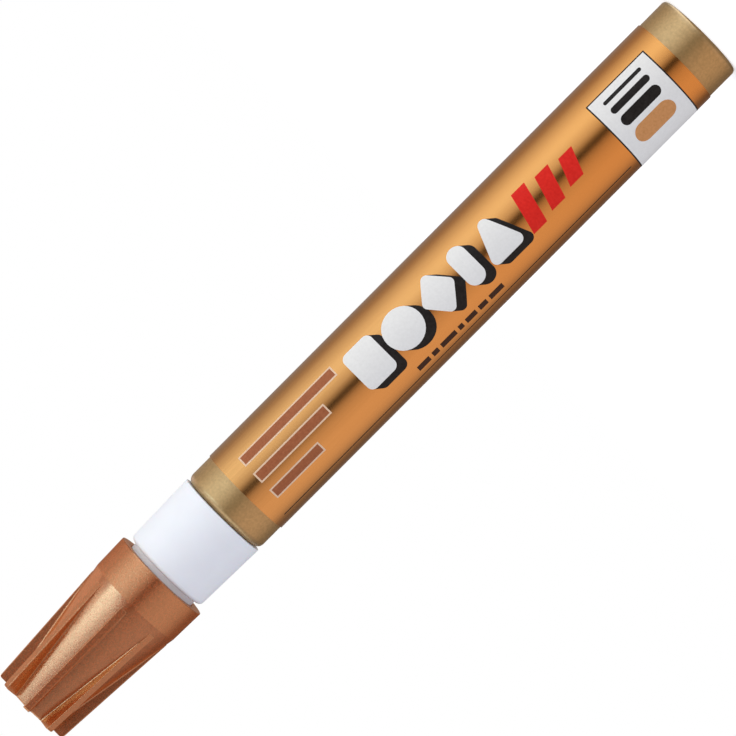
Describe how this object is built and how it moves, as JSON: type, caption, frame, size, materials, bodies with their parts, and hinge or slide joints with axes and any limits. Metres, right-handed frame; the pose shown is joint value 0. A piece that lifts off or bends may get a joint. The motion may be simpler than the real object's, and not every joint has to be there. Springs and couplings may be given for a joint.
{
  "type": "paint marker",
  "caption": "Valve-action paint marker: film-wrapped aluminium can, white front holder, spring-loaded nib and valve, loose mixing ball and a push-on finned cap that pulls off.",
  "frame": {"origin": "centre of the rear base, on the face that the marker stands on", "axes": "+Z along the marker's axis from the rear base to the closed end of the cap; X and Y across it, with -Y the side that faces the picture's camera"},
  "size_m": [0.016, 0.016, 0.1399],
  "materials": {
    "can_aluminium": "satin champagne lacquer",
    "label_film": null,
    "white_plastic": "satin white moulding",
    "cap_pearl": "copper pearl moulding",
    "liner_plastic": "natural moulding",
    "nib_felt": "pressed fibre",
    "valve_plastic": "natural moulding",
    "seal_rubber": "matt",
    "spring_steel": "drawn wire",
    "ball_steel": "polished"
  },
  "bodies": {
    "marker_body": {"barrel": "can_aluminium", "label_film": "label_film", "front_holder": "white_plastic", "can_gasket": "seal_rubber", "valve_seat": "seal_rubber", "valve_case": "valve_plastic"},
    "nib_and_valve": {"nib": "nib_felt", "valve_plunger": "valve_plastic", "valve_spring": "spring_steel"},
    "ball": {"mixing_ball": "ball_steel"},
    "cap": {"cap_shell": "cap_pearl", "cap_liner": "liner_plastic"}
  },
  "joints": [
    {"name": "cap_pull", "type": "slide", "parent": "marker_body", "child": "cap", "axis": [0, 0, 1], "range_m": [0, 0.03]},
    {"name": "nib_press", "type": "slide", "parent": "marker_body", "child": "nib_and_valve", "axis": [0, 0, -1], "range_m": [0, 0.002], "stiffness_N_per_m": 500, "springref_m": -0.002, "deforming": ["valve_spring"]},
    {"name": "ball_slide", "type": "slide", "parent": "marker_body", "child": "ball", "axis": [0, 0, 1], "range_m": [0, 0.074]}
  ]
}
